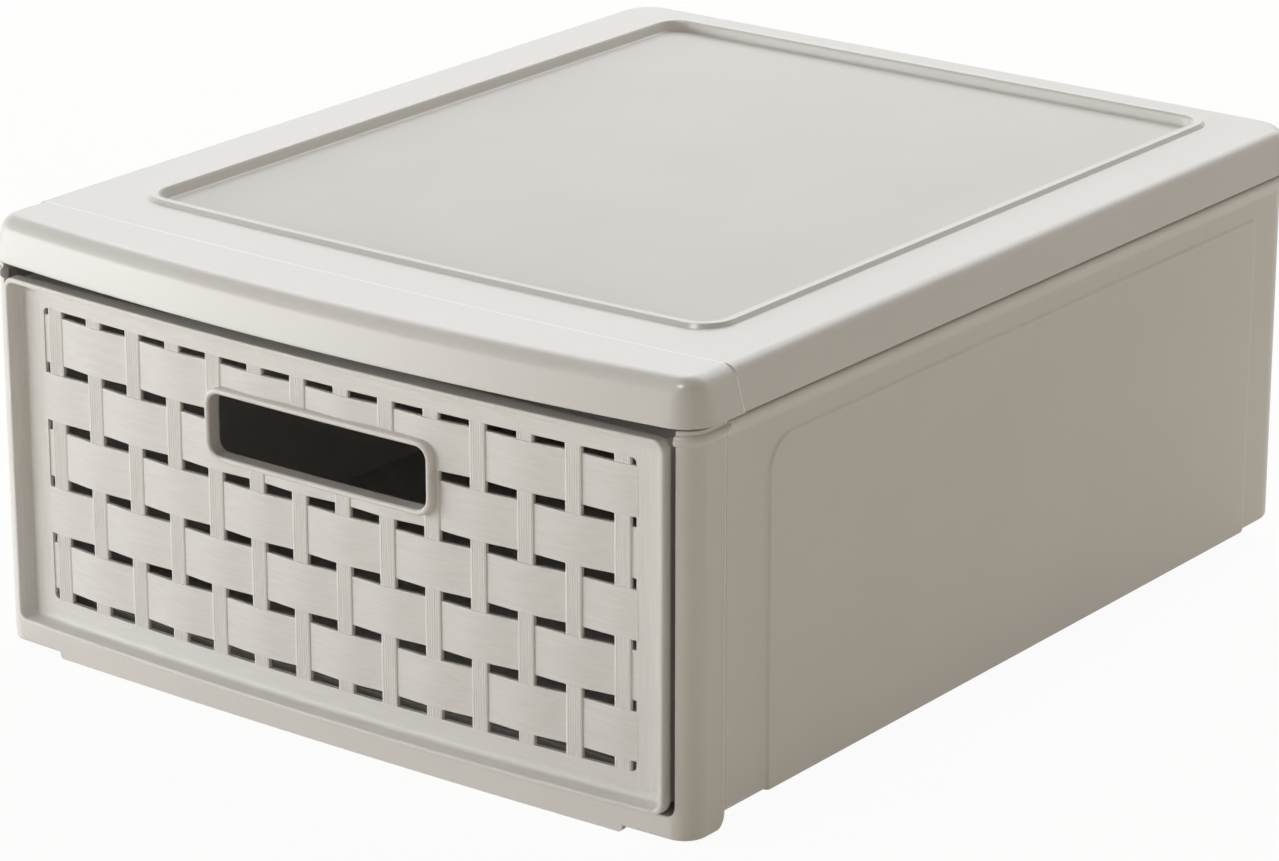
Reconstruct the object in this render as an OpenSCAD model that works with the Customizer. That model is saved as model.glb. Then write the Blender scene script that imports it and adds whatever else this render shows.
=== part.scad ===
// Stackable drawer box: moulded housing with a bowed lid, and one drawer with a basket-weave front.
// Origin: middle of the footprint on the ground. +X right, +Y to the rear, +Z up. Millimetres.

/* [Overall] */
// Width over the lid's lip
lid_w = 328; // [310:1:350]
// Depth from the middle of the bowed front to the rear lip
lid_d = 413; // [390:1:440]
// Height over the stacking ring
box_h = 170.5; // [150:0.5:220]

/* [Lid] */
// Height of the lid's skirt
skirt_h = 16.3; // [14:0.1:20]
// Wall of the lid and of the front hood
lid_wall = 2.4; // [2:0.1:3]
// How far the skirt leans out from top to bottom
skirt_flare = 2.4; // [1.5:0.1:3]
// Rounding of the lid's top edge
lid_edge_r = 5; // [3.5:0.5:6]
// Plan radius of the rear corners of the lid
lid_rear_r = 18; // [14:1:24]
// Height of the stacking ring over the lid
ring_h = 1.5; // [1:0.1:3]
// Width of the stacking ring
ring_w = 5.5; // [4:0.5:8]
// Plan radius of the ring's outer corners
ring_r = 14; // [10:1:20]
// Ring to the lip at each side
ring_side = 29.3; // [24:0.1:36]
// Ring to the lip at the rear
ring_rear = 18; // [14:0.5:24]
// Ring to the seam of the hood, in the middle
ring_front = 23.5; // [18:0.5:40]
// Depth of the sunk panel under the lid's top
panel_sink = 3; // [2:0.1:5]
// Reach of the lid's tongue under the hood
tongue_l = 4; // [2:0.5:8]
// Gap between the lid or hood and the housing that carries it
seat_gap = 0.3; // [0.2:0.05:0.5]

/* [Front hood] */
// Depth of the hood in the middle
hood_d = 33.3; // [30:0.1:42]
// How far the hood's middle stands ahead of its corners
hood_bow = 9; // [6:0.5:14]
// How far the seam's middle lies ahead of its ends
seam_bow = 4; // [2:0.5:6]
// Plan radius of the hood's front corners
hood_corner_r = 12; // [9:1:16]
// Rounding of the hood's top edge
hood_edge_r = 7; // [5:0.5:8]
// How far the hood stands proud of the lid at the seam
hood_proud = 0.6; // [0.4:0.1:1]

/* [Housing] */
// Lip of the lid beyond the housing wall, each side
lip_side = 1.8; // [1.8:0.1:3]
// Lip of the lid beyond the housing wall, rear
lip_rear = 4.8; // [3:0.1:8]
// Wall of the housing
base_wall = 2.6; // [2:0.1:3]
// Plan radius of the rear corners of the housing
base_rear_r = 15; // [12:1:20]
// Height of the side walls' lower edge over the ground
wall_z = 8.4; // [6:0.1:12]
// Thickness of the housing floor
floor_t = 2.4; // [2:0.1:4]
// Gap between the lid's lip and the collar under it
lid_gap = 1.2; // [0.6:0.1:2]
// Height of the collar round the housing
collar_h = 5.5; // [4:0.5:8]
// How far the collar stands out of the wall
collar_out = 1.7; // [1:0.1:2]
// Height of the embossed side panel's top edge over the wall's lower edge
emboss_h = 130; // [80:1:132]
// Distance from the housing's rear to the embossed panel
emboss_rear = 29; // [20:1:60]
// Distance from the seam to the embossed panel
emboss_front = 24; // [15:1:60]
// Height of the emboss
emboss_t = 0.8; // [0.5:0.1:1.5]
// Corner radius at the front of the embossed panel
emboss_r = 13; // [6:1:20]
// Corner radius at the rear of the embossed panel
emboss_rear_r = 3; // [2:1:20]
// Width of the foot ring under the housing
foot_w = 4.5; // [3:0.5:8]
// Gap from the foot ring to the stacking ring of a box below
foot_gap = 1; // [0.5:0.1:2]

/* [Front frame] */
// Distance from the hood's front to the frame's front, in the middle
frame_back = 8.1; // [8:0.1:12]
// Distance from the frame's front to the seam, in the middle
frame_d = 22.6; // [18:0.1:30]
// How far the rail's middle stands ahead of its ends
rail_bow = 2.9; // [2:0.1:6]
// Plan radius of the posts
post_r = 9; // [6:0.5:12]
// Width of a post beside the drawer opening
post_w = 7.2; // [6:0.1:12]
// Height of the posts' feet over the ground
post_z = 2.3; // [1.5:0.1:4]
// Rounding at the rear of the posts' feet
foot_r = 6; // [3:0.5:6]
// Lower corner radius of the drawer opening
open_r = 4; // [2:0.5:8]
// Half width of the plinth under the rail
plinth_half = 133; // [110:1:140]
// Height of the bead on the posts
bead_h = 4; // [3:0.5:5]
// Drop of the bead's top under the collar's top
bead_drop = 1.5; // [0.5:0.1:3]
// Depth of the top bar that stops the drawer
bar_d = 4; // [3:0.5:8]
// Set-back of the top bar behind the posts' front
bar_back = 5; // [4:0.5:8]

/* [Drawer] */
// Gap beside the drawer front in its opening
front_gap = 2.6; // [1:0.1:5]
// Gap over the drawer front
front_gap_top = 4.6; // [2:0.1:8]
// Gap under the drawer front
front_gap_low = 0.5; // [0.3:0.1:2]
// How far the woven face lies behind the frame's front, in the middle
face_back = 1.2; // [0:0.1:3]
// How far the woven face's middle stands ahead of its ends
face_bow = 5.9; // [3:0.1:9]
// How far the rim stands ahead of the woven face
rim_ahead = 7.2; // [4:0.1:10]
// Thickness of the rim
rim_w = 2.6; // [2.2:0.1:4]
// Depth of the drawer front from its rim to the tray
flange_d = 17; // [14:0.5:24]
// How far the rim reaches back behind the woven face
rim_back = 1.4; // [1:0.1:4]
// How far the flange behind the rim steps in
flange_in = 1.4; // [0.8:0.1:2]
// Corner radius of the drawer front
front_r = 5; // [3:0.5:12]
// Wall of the drawer tray
tray_wall = 2.2; // [1.8:0.1:3]
// Plan radius of the tray's rear corners
tray_r = 7; // [4:1:16]
// Gap from the tray to the side guides
tray_gap = 0.8; // [0.4:0.1:1.5]
// Drop of the tray's top edge under the drawer front's top
tray_drop = 6; // [3:0.5:30]
// Height of the tray's front sill
sill_h = 8; // [5:1:30]
// Gap between the tray and the rear wall of the housing
tray_rear_gap = 6; // [3:0.5:12]
// Running clearance of the tray on its ribs
run_gap = 0.3; // [0.2:0.05:0.5]
// Height of the runner ribs on the housing floor
rib_h = 1.2; // [0.8:0.1:3]
// Width of the runner ribs
rib_w = 6; // [3:0.5:12]
// Height of the side guides
guide_h = 14; // [8:1:30]
// Thickness of the side guides
guide_t = 2; // [1.5:0.1:3]
// Gap from the side guides to the line of the drawer opening
guide_gap = 3.2; // [2.5:0.1:5]
// Length of a stop lug on the tray
lug_l = 8; // [5:1:14]
// Overlap of a stop lug with the top bar
lug_catch = 4; // [2:0.5:6]
// Travel of the drawer from shut to its stop
travel = 300; // [200:5:310]

/* [Weave] */
// Number of upright strips
strips = 14; // [10:1:14]
// Number of level bands
bands = 5; // [3:1:5]
// Spacing of the strips
strip_pitch = 20.2; // [16:0.1:20.6]
// Width of a strip
strip_w = 7; // [5:0.1:10]
// Height of the slits between the bands
slit_h = 3.8; // [3:0.1:6]
// Height of the top row of slits
slit_top_h = 2.8; // [2:0.1:4]
// Gap beside the outer strips
end_gap = 2.4; // [1.5:0.1:4]
// Drop from the drawer front's top to the middle of the top row of slits
weave_drop = 11.4; // [9:0.1:14]
// Rise from the drawer front's bottom to the lower edge of the weave
weave_rise = 11.5; // [9:0.1:14]
// Thickness of the woven face
face_t = 1.6; // [1.2:0.1:3]
// Reach of a band to each side of the middle of the weave
weave_amp = 0.5; // [0.3:0.1:1.5]

/* [Hand hole] */
// Width of the hand hole
hole_w = 100.4; // [80:0.1:110]
// Height of the hand hole
hole_h = 23.2; // [18:0.1:30]
// Corner radius of the hand hole
hole_r = 4.5; // [3:0.5:8]
// Drop from the drawer front's top to the middle of the hand hole
hole_drop = 35.6; // [30:0.1:50]
// Width of the bead round the hand hole
grip_w = 2.5; // [1.8:0.1:8]
// Wall of the collar behind the bead
grip_wall = 2.3; // [1.6:0.1:5]
// How far the bead stands ahead of the woven face
grip_ahead = 4; // [3.2:0.1:6]
// Depth of the collar behind the woven face
grip_back = 1.8; // [1:0.1:14]

/* [Hidden] */
$fn = 64;
bow_fn = 1440;
round_fn = 96;
joint = 0.01;
past = 50;
plastic = "#dedbd4";

// Heights
lid_z = box_h - ring_h;
plate_z = lid_z - lid_wall;
lip_z = lid_z - skirt_h;
lip_h = 1.2;
lip_out = 0.6;
collar_z = lip_z - lid_gap;
floor_z = wall_z + floor_t;
seat_z = plate_z - seat_gap;

// Plan of the lid and of the hood
half_w = lid_w / 2;
hood_half = half_w + hood_proud;
y_front = -lid_d / 2;
y_rear = lid_d / 2;
seam_y = y_front + hood_d;
seam_end = seam_y + seam_bow;
hood_r = bow_radius(half_w - hood_corner_r, hood_bow);
seam_r = bow_radius(half_w, seam_bow);

// Plan of the housing
base_half = half_w - lip_side;
base_rear = y_rear - lip_rear;
frame_y = y_front + frame_back;
frame_end = frame_y + frame_d;
rail_r = bow_radius(base_half - post_r, rail_bow);
open_half = base_half - post_w;
edge_in = skirt_flare + hood_edge_r - hood_proud - lip_side;
shoulder_t = 2.4;
head_z = collar_z - bead_drop;
head_top = lid_z - hood_edge_r;
head_in = skirt_flare + lid_wall + 2 * seat_gap - hood_proud - lip_side;
head_y = y_front + hood_bow - rail_bow + skirt_flare + lid_wall + 3 * seat_gap;
bar_y = frame_y + rail_bow + bar_back;
bar_z = lip_z + 0.5;

// Drawer
front_half = open_half - front_gap;
face_y = frame_y + face_back;
face_r = bow_radius(front_half, face_bow);
face_cy = face_y + face_r;
front_z = floor_z + front_gap_low;
front_top = lip_z - front_gap_top;
flange_back = flange_d - rim_ahead;
tray_z = floor_z + rib_h + run_gap;
tray_top = front_top - tray_drop;
guide_in = open_half - guide_gap;
tray_half = guide_in - tray_gap;
tray_rear = base_rear - base_wall - tray_rear_gap;
sill_end = 12;
rib_in = 20;
lug_h = bar_z - tray_top + lug_catch;
lug_y = bar_y + bar_d + travel + seat_gap;

// Weave
strip_front = face_t / 2;
weave_half = (strips - 1) / 2 * strip_pitch;
window_half = weave_half + strip_w / 2 + end_gap;
weave_top = front_top - weave_drop;
window_z = front_z + weave_rise;
band_pitch = (weave_top - slit_h / 2 - window_z) / bands;
window_top = weave_top - slit_h / 2 + slit_top_h;
band_h = band_pitch - slit_h;
hole_z = front_top - hole_drop - hole_h / 2;

// Stacking ring and foot ring
ring_half = half_w - ring_side;
ring_y0 = seam_y + ring_front;
ring_y1 = y_rear - ring_rear;

// Radius of an arc that rises by `rise` over `half` to each side
function bow_radius(half, rise) = (half * half + rise * rise) / (2 * rise);

// Point at distance s along the bowed face, moved v to the front
function on_face(s, v) = [
    (face_r + v) * sin(s / face_r * 180 / PI),
    face_cy - (face_r + v) * cos(s / face_r * 180 / PI)
];

// Points of an arc
function arc(c, r, a0, a1, n) = [
    for (i = [0:n]) [
        c[0] + r * cos(a0 + (a1 - a0) * i / n),
        c[1] + r * sin(a0 + (a1 - a0) * i / n)
    ]
];

// Plan outline with a bowed front, round corners and a straight rear, drawn in by d
module bowed_plan(half, y0, y1, r, bow_r, d = 0) {
    cy = y0 + bow_r - sqrt(pow(bow_r - r, 2) - pow(half - r, 2));
    b = asin((half - r) / (bow_r - r));
    polygon(concat(
        arc([0, y0 + bow_r], bow_r - d, 270 - b, 270 + b, 24),
        arc([half - r, cy], r - d, 270 + b, 360, 8),
        [[half - d, y1], [d - half, y1]],
        arc([r - half, cy], r - d, 180, 270 - b, 8)
    ));
}

// Rectangle with round corners, from low to high corner
module round_rect(x0, y0, x1, y1, r) {
    polygon(concat(
        arc([x0 + r, y0 + r], r, 180, 270, 8),
        arc([x1 - r, y0 + r], r, 270, 360, 8),
        arc([x1 - r, y1 - r], r, 0, 90, 8),
        arc([x0 + r, y1 - r], r, 90, 180, 8)
    ));
}

// The part and its mirror image at the left
module both() {
    children();
    mirror([1, 0, 0]) children();
}

// An outline in X and Z, extruded along Y from y0 to y1
module along_y(y0, y1) {
    translate([0, y1, 0]) rotate([90, 0, 0]) linear_extrude(y1 - y0) children();
}

// Straight run of a profile (x outwards, y up) along Y at the right-hand side
module side_run(x, y0, y1) {
    translate([x, 0, 0]) along_y(y0, y1) children();
}

// A profile carried round the sides and the rear of a plan
module rear_sweep(half, y0, y1, r) {
    both() {
        side_run(half, y0, y1 - r) children();
        translate([half - r, y1 - r, 0])
            rotate_extrude(angle = 90, $fn = round_fn) translate([r, 0]) children();
    }
    translate([r - half, y1, 0]) rotate([90, 0, 90])
        linear_extrude(2 * (half - r)) children();
}

// A profile carried round the bowed front, its corners and the sides back to y1
module front_sweep(half, y0, y1, r, bow_r) {
    cy = y0 + bow_r - sqrt(pow(bow_r - r, 2) - pow(half - r, 2));
    b = asin((half - r) / (bow_r - r));
    both() {
        side_run(half, cy, y1) children();
        translate([half - r, cy, 0]) rotate([0, 0, b - 90])
            rotate_extrude(angle = 90 - b, $fn = round_fn) translate([r, 0]) children();
    }
    translate([0, y0 + bow_r, 0]) rotate([0, 0, 270 - b])
        rotate_extrude(angle = 2 * b, $fn = bow_fn) translate([bow_r, 0]) children();
}

// Skirt of the lid in section, x = 0 at the lip; the top edge is round
module skirt_profile(edge_r) {
    cx = -skirt_flare - edge_r;
    polygon(concat(
        [[0, lip_z], [0, lip_z + lip_h], [-lip_out, lip_z + 2 * lip_h]],
        arc([cx, lid_z - edge_r], edge_r, 8, 90, 8),
        [[cx - lid_wall, lid_z], [cx - lid_wall, plate_z], [cx, plate_z]],
        arc([cx, lid_z - edge_r], edge_r - lid_wall, 80, 10, 4),
        [[-lid_wall, lip_z]]
    ));
}

// Lid behind the seam: skirt on three sides, flat top, stacking ring round a sunk panel
module lid() color(plastic) {
    inset = skirt_flare + lid_edge_r + lid_wall / 2;
    difference() {
        union() {
            rear_sweep(half_w, seam_end, y_rear, lid_rear_r) skirt_profile(lid_edge_r);
            translate([0, 0, plate_z]) linear_extrude(lid_wall) lid_plate(inset);
            translate([0, 0, plate_z - panel_sink])
                linear_extrude(panel_sink + lid_wall + ring_h) ring_plan(0);
        }
        translate([0, 0, lid_z - panel_sink]) linear_extrude(box_h) ring_plan(ring_w);
    }
    // Tongue under the hood
    translate([0, 0, plate_z - lid_wall]) {
        linear_extrude(lid_wall) tongue_plan();
        linear_extrude(lid_wall + joint) difference() {
            tongue_plan();
            hood_side();
        }
    }
}

// Plan of the lid's flat top, behind the seam
module lid_plate(inset) {
    difference() {
        round_rect(inset - half_w, seam_y - lid_rear_r, half_w - inset, y_rear - inset,
            lid_rear_r - inset);
        hood_side();
    }
}

// Everything ahead of the bowed seam
module hood_side() {
    polygon(concat(
        arc([0, seam_y + seam_r], seam_r, 265, 275, 40),
        [[lid_w, y_front - past], [-lid_w, y_front - past]]
    ));
}

// Plan of the tongue, from ahead of the seam to twice as far behind it
module tongue_plan() {
    end = skirt_flare + hood_edge_r + lid_wall + lid_edge_r;
    intersection() {
        polygon(concat(
            arc([0, seam_y + seam_r], seam_r + tongue_l, 265, 275, 40),
            arc([0, seam_y + seam_r], seam_r - 2 * tongue_l, 275, 265, 40)
        ));
        square([2 * (half_w - end), lid_d], center = true);
    }
}

// Outline of the stacking ring, drawn in by d; its front follows the bow of the seam
module ring_plan(d) {
    r = ring_r - d;
    b = asin((ring_half - ring_r) / seam_r);
    cy = ring_y0 + seam_r - (seam_r - ring_r) * cos(b);
    polygon(concat(
        arc([0, ring_y0 + seam_r], seam_r - d, 270 - b, 270 + b, 12),
        arc([ring_half - ring_r, cy], r, 270 + b, 360, 8),
        arc([ring_half - ring_r, ring_y1 - ring_r], r, 0, 90, 8),
        arc([ring_r - ring_half, ring_y1 - ring_r], r, 90, 180, 8),
        arc([ring_r - ring_half, cy], r, 180, 270 - b, 8)
    ));
}

// Bowed front band of the lid, ahead of the seam
module front_hood() color(plastic) {
    inset = skirt_flare + hood_edge_r + lid_wall / 2;
    intersection() {
        union() {
            front_sweep(hood_half, y_front, seam_end + lid_wall, hood_corner_r, hood_r)
                skirt_profile(hood_edge_r);
            translate([0, 0, plate_z]) linear_extrude(lid_wall)
                bowed_plan(hood_half - inset, y_front + inset, seam_end + lid_wall, lid_wall,
                    hood_r - inset);
        }
        translate([0, 0, lip_z - past]) linear_extrude(skirt_h + 2 * past) hood_side();
    }
}

// Housing behind the seam: walls, floor, collar, foot ring, runner ribs and side guides
module base_shell() color(plastic) {
    rib_l = base_rear - frame_end - rib_in;
    difference() {
        union() {
            translate([0, 0, wall_z]) linear_extrude(collar_z - wall_z) shell_plan(0);
            rear_sweep(base_half, frame_end, base_rear, base_rear_r) collar_profile();
            both() emboss();
        }
        translate([0, 0, floor_z]) linear_extrude(collar_z - shoulder_t - floor_z)
            shell_plan(base_wall, past);
        translate([0, 0, floor_z]) linear_extrude(box_h) shell_plan(edge_in + base_wall, past);
    }
    // Drawn-in upper edge that carries the lid
    translate([0, 0, collar_z - joint]) linear_extrude(seat_z - collar_z + joint) difference() {
        shell_plan(edge_in);
        shell_plan(edge_in + base_wall, past);
    }
    linear_extrude(wall_z + joint) foot_plan();
    both() {
        translate([tray_half - rib_in - rib_w, frame_end, floor_z - joint])
            cube([rib_w, rib_l, rib_h + joint]);
        translate([guide_in, frame_end, floor_z - joint])
            cube([guide_t, rib_l, guide_h + joint]);
    }
}

// Plan of the housing behind the seam, drawn in by d and carried ahead of the seam by ahead
module shell_plan(d, ahead = 0) {
    x = base_half - base_rear_r;
    y = base_rear - base_rear_r;
    y0 = frame_end - ahead;
    translate([d - base_half, y0]) square([2 * (base_half - d), y - y0]);
    translate([-x, y0]) square([2 * x, base_rear - d - y0]);
    both() translate([x, y]) circle(base_rear_r - d);
}

// Collar in section, x = 0 at the wall
module collar_profile() {
    r = collar_out;
    polygon(concat(
        [[-base_wall / 2, collar_z - collar_h], [0, collar_z - collar_h]],
        arc([0, collar_z - r], r, 0, 90, 6),
        [[-base_wall / 2, collar_z]]
    ));
}

// Embossed panel on the right-hand wall, open to the wall's lower edge
module emboss() {
    y0 = frame_end + emboss_front;
    y1 = base_rear - emboss_rear;
    z1 = wall_z + emboss_h;
    translate([base_half - joint, 0, 0]) rotate([90, 0, 90]) linear_extrude(emboss_t + joint)
        polygon(concat(
            [[y0, wall_z], [y1, wall_z]],
            arc([y1 - emboss_rear_r, z1 - emboss_rear_r], emboss_rear_r, 0, 90, 8),
            arc([y0 + emboss_r, z1 - emboss_r], emboss_r, 90, 180, 8)
        ));
}

// Foot ring that drops round the stacking ring of the box below
module foot_plan() {
    x = ring_half + foot_gap;
    y1 = ring_y1 + foot_gap;
    r = ring_r + foot_gap;
    difference() {
        intersection() {
            round_rect(-x - foot_w, frame_end - past, x + foot_w, y1 + foot_w, r + foot_w);
            translate([-lid_w, frame_end]) square([2 * lid_w, lid_d]);
        }
        round_rect(-x, frame_end - past, x, y1, r);
    }
}

// Front end of the housing: two posts, bottom rail and plinth, bead, and the hidden top bar
module front_frame() color(plastic) {
    difference() {
        union() {
            translate([0, 0, post_z]) linear_extrude(collar_z - post_z) frame_plan(0);
            bead();
            // Posts' heads inside the hood
            translate([0, 0, collar_z - joint]) linear_extrude(head_top - collar_z + joint)
                head_plan();
        }
        // Room behind the rail and the posts
        translate([0, 0, floor_z]) linear_extrude(collar_z - shoulder_t - floor_z)
            frame_plan(base_wall, past);
        // Room under the floor
        translate([0, 0, -joint]) linear_extrude(wall_z + joint) frame_plan(base_wall, past);
        // Drawer opening
        along_y(y_front, frame_end + past)
            round_rect(-open_half, floor_z, open_half, box_h + past, open_r);
        translate([0, frame_end, post_z]) foot_cut();
    }
    // Plinth under the rail
    linear_extrude(2 * post_z) plinth_plan();
    top_bar();
}

// Plan of the front frame ahead of its seam, drawn in by d and carried past the seam by behind
module frame_plan(d, behind = 0) {
    bowed_plan(base_half, frame_y, frame_end + behind, post_r, rail_r, d);
}

// Plan of the posts' heads, clear of the hood's inside
module head_plan() {
    bowed_plan(base_half - head_in, head_y, frame_end, post_r - head_in, rail_r);
}

// Cuts the lower rear edge of the feet to a quarter round
module foot_cut() {
    h = wall_z - post_z;
    r = min(foot_r, h);
    translate([-lid_w, 0, 0]) rotate([90, 0, 90]) linear_extrude(2 * lid_w) difference() {
        translate([-r, -past]) square([r + joint, past + r]);
        translate([-r, r]) circle(r);
    }
}

// Bead round the head of each post
module bead() {
    cy = frame_y + rail_r - sqrt(pow(rail_r - post_r, 2) - pow(base_half - post_r, 2));
    both() {
        side_run(base_half, cy, frame_end) bead_profile();
        translate([base_half - post_r, cy, 0]) rotate([0, 0, -90])
            rotate_extrude(angle = 90, $fn = round_fn) translate([post_r, 0]) bead_profile();
    }
}

// Bead in section, x = 0 at the post's face
module bead_profile() {
    r = bead_h / 2;
    intersection() {
        translate([-base_wall / 2, head_z - bead_h]) square([base_wall / 2 + collar_out, bead_h]);
        union() {
            translate([collar_out - r, head_z - r]) circle(r, $fn = 32);
            translate([-r, head_z - bead_h]) square([collar_out, bead_h]);
        }
    }
}

// Plan of the lower centre strip of the rail
module plinth_plan() {
    intersection() {
        difference() {
            frame_plan(0);
            frame_plan(base_wall, past);
        }
        translate([-plinth_half, frame_y]) square([2 * plinth_half, frame_d]);
    }
}

// Top bar between the posts' heads: the drawer's lugs stop against it and it carries the hood
module top_bar() {
    outer = open_half + bar_d / 2;
    inner = outer * 0.7;
    translate([-outer, bar_y, bar_z]) cube([2 * outer, bar_d, head_top - bar_z]);
    translate([-inner, bar_y, bar_z]) cube([2 * inner, bar_d, seat_z - bar_z]);
}

// Tray behind the woven front: floor, sides, rear, low front sill and two stop lugs
module drawer_tray() color(plastic) {
    x = tray_half - sill_end;
    difference() {
        translate([0, 0, tray_z]) linear_extrude(tray_top - tray_z) tray_plan(0);
        translate([0, 0, tray_z + tray_wall]) linear_extrude(box_h) tray_plan(tray_wall);
        // Open front over the sill
        along_y(face_y - past, face_y + past)
            translate([-x, tray_z + sill_h]) square([2 * x, box_h]);
    }
    both() translate([tray_half - tray_wall, lug_y, tray_top - joint])
        cube([tray_wall, lug_l, lug_h + joint]);
}

// Plan of the tray, drawn in by d; its front edge lies on the rear of the drawer front's rim
module tray_plan(d) {
    x = tray_half - d;
    r = face_r - flange_back - d;
    b = asin(x / r);
    polygon(concat(
        arc([0, face_cy], r, 270 - b, 270 + b, 24),
        arc([tray_half - tray_r, tray_rear - tray_r], tray_r - d, 0, 90, 8),
        arc([tray_r - tray_half, tray_rear - tray_r], tray_r - d, 90, 180, 8)
    ));
}

// Woven front: rim, surround, upright strips and level bands
module drawer_front() color(plastic) {
    difference() {
        union() {
            rim();
            face_arc(front_half - rim_w / 2, strip_front - face_t, strip_front,
                front_z + rim_w / 2, front_top - rim_w / 2);
        }
        along_y(face_y - past, face_y + past)
            translate([-window_half, window_z])
                square([2 * window_half, window_top - window_z]);
    }
    difference() {
        union() {
            for (i = [0:strips - 1]) strip((i - (strips - 1) / 2) * strip_pitch);
            for (j = [0:bands - 1]) band(j);
        }
        hole_cut(grip_wall);
    }
}

// Arc of the drawer front between two depths and two heights
module face_arc(half, v0, v1, z0, z1) {
    b = asin(half / face_r);
    translate([0, face_cy, 0]) rotate([0, 0, 270 - b])
        rotate_extrude(angle = 2 * b, $fn = bow_fn)
            translate([face_r + v0, z0]) square([v1 - v0, z1 - z0]);
}

// Rim round the drawer front, and the smaller flange that joins it to the tray
module rim() {
    rim_ring(0, -rim_back, rim_ahead);
    rim_ring(flange_in, -flange_back, joint - rim_back);
}

// Ring of the rim's thickness, stepped in by d, between two depths
module rim_ring(d, v0, v1) {
    w = d + rim_w;
    intersection() {
        face_arc(front_half + 1, v0, v1, front_z, front_top);
        along_y(face_y - past, face_y + past) difference() {
            round_rect(d - front_half, front_z + d, front_half - d, front_top - d, front_r - d);
            round_rect(w - front_half, front_z + w, front_half - w, front_top - w, front_r - w);
        }
    }
}

// Upright strip at distance s from the middle
module strip(s) {
    z0 = window_z - 1;
    translate([0, face_cy, 0]) rotate([0, 0, s / face_r * 180 / PI])
        translate([-strip_w / 2, -face_r - strip_front, z0])
            cube([strip_w, face_t, window_top + 1 - z0]);
}

// Reach of band j at distance s: behind the strips of its own parity, ahead of the others.
// A band that passes ahead of the outer strip comes down to the surround beside it.
function wave(j, s) =
    let (c = -cos(180 * (s + weave_half) / strip_pitch) * (j % 2 == 0 ? 1 : -1),
         e = (abs(s) - weave_half) / (window_half - weave_half))
    weave_amp * (e > 0 && c > 0 ? cos(84 * min(e, 1)) : c);

// Level band j, counted from the top
module band(j) {
    z0 = weave_top - slit_h / 2 - j * band_pitch - band_h;
    n = (strips + 1) * 6;
    s_end = window_half + 1;
    step = 2 * s_end / n;
    translate([0, 0, z0]) linear_extrude(band_h) polygon(concat(
        [for (i = [0:n]) on_face(i * step - s_end, wave(j, i * step - s_end) + face_t / 2)],
        [for (i = [n:-1:0]) on_face(i * step - s_end, wave(j, i * step - s_end) - face_t / 2)]
    ));
}

// Hand hole grown by d, right through the face
module hole_cut(d) {
    along_y(face_y - past, face_y + past)
        round_rect(-hole_w / 2 - d, hole_z - d, hole_w / 2 + d, hole_z + hole_h + d, hole_r + d);
}

// Smooth collar that lines the hand hole, with its bead lying over the weave
module grip_frame() color(plastic) {
    bead_v = weave_amp + face_t / 2 + seat_gap;
    difference() {
        union() {
            intersection() {
                face_arc(hole_w, bead_v, grip_ahead, 0, box_h);
                hole_cut(grip_w);
            }
            intersection() {
                face_arc(hole_w, -grip_back, grip_ahead, 0, box_h);
                hole_cut(grip_wall);
            }
        }
        hole_cut(0);
    }
}

base_shell();
front_frame();
lid();
front_hood();
drawer_tray();
drawer_front();
grip_frame();
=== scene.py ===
from math import cos, pi, radians, sin

import bmesh
import bpy
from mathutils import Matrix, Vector


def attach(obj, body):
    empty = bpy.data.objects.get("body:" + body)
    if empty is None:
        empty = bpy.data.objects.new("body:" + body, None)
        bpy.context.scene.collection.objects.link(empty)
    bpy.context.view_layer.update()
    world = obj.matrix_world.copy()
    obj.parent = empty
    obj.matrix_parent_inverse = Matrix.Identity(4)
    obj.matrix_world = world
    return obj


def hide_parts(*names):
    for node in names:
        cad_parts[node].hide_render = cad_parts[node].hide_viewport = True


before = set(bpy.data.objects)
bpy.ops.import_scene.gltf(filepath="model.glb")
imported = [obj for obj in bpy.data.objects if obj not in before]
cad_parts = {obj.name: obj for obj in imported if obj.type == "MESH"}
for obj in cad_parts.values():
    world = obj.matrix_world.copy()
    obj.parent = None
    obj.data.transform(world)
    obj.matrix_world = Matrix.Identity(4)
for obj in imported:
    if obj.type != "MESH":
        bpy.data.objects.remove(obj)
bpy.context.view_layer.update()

# ---- Camera ----
# A long lens, a little above the box and to its right. The photograph has its upright lines made
# parallel; a level lens with that much shift would lose the box in other views, so this one looks
# down on it and is fitted to the whole outline instead.
MM = 0.001
LENS = 137.45
SENSOR = 36.0
EYE = (1072.64, -1425.02, 689.82)
TURN = 37.179
DIP = 19.324

view = bpy.data.cameras.new("camera")
view.lens = LENS
view.sensor_width = SENSOR
view.clip_start = 0.05
view.clip_end = 50.0
camera = bpy.data.objects.new("camera", view)
camera.location = [c * MM for c in EYE]
camera.rotation_euler = (radians(90 - DIP), 0, radians(TURN))
bpy.context.scene.collection.objects.link(camera)
bpy.context.scene.camera = camera
bpy.context.scene.view_settings.view_transform = "Standard"


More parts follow.
